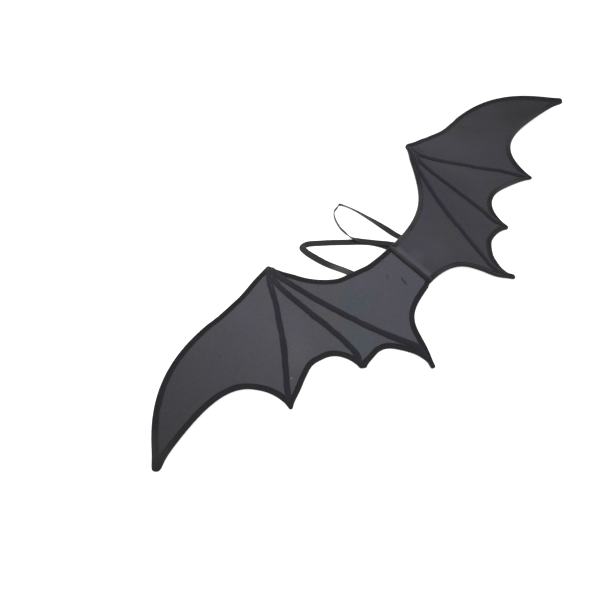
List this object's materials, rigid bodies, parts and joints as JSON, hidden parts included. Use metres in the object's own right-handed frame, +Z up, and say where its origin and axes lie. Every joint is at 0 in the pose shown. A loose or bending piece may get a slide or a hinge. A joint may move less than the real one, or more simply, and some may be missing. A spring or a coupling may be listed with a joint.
{
  "type": "costume bat wings",
  "caption": "Scalloped cloth bat wings for a costume, joined at a centre seam, with bound edges, raised finger ribs and elastic shoulder loops.",
  "frame": {"origin": "middle of the box around the part, at the height of the surface that it lies on", "axes": "X along the span with +X towards the wing at the upper right of the picture, +Y up the seam towards the straps, +Z up, out of the outer face"},
  "size_m": [0.8, 0.26, 0.034],
  "materials": {
    "wing_cloth_left": "matte",
    "wing_cloth_right": "matte",
    "edge_binding_left": "matte",
    "edge_binding_right": "matte",
    "rib_tape": "matte",
    "seam_band": "matte",
    "strap_elastic": "satin"
  },
  "bodies": {
    "root": {"wing_cloth_left": "wing_cloth_left", "wing_cloth_right": "wing_cloth_right", "edge_binding_left": "edge_binding_left", "edge_binding_right": "edge_binding_right", "rib_outer_left": "rib_tape", "rib_middle_left": "rib_tape", "rib_inner_left": "rib_tape", "rib_outer_right": "rib_tape", "rib_middle_right": "rib_tape", "rib_inner_right": "rib_tape", "seam_band": "seam_band", "strap_left": "strap_elastic", "strap_right": "strap_elastic"}
  },
  "joints": []
}
